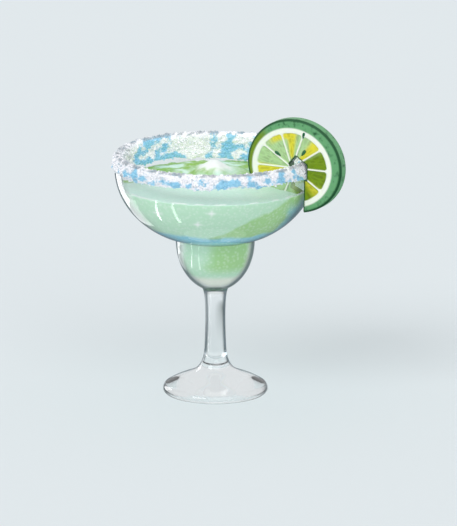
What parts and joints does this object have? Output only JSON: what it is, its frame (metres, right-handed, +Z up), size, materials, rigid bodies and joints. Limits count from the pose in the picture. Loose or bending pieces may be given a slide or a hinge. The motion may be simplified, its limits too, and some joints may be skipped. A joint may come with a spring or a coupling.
{
  "type": "frozen margarita",
  "caption": "Stepped glass on a tall stem, filled with pale green slush, with a salt crust round the rim and a wheel of lime pushed onto it.",
  "frame": {"origin": "middle of the foot's flat underside, on the glass's axis", "axes": "+Z up the stem, -Y towards the viewer, +X towards the side where the lime wheel sits"},
  "size_m": [0.1414, 0.1252, 0.177],
  "materials": {
    "glass": "clear, polished, faint cool tint in its thick parts",
    "slush": "icy, wet, mint green to yellow green",
    "salt": "coarse white crystals",
    "lime": "waxy green rind, white pith, juicy flesh"
  },
  "bodies": {
    "root": {"glass": "glass", "drink": "slush", "salt_rim": "salt", "lime_wheel": "lime"}
  },
  "joints": []
}
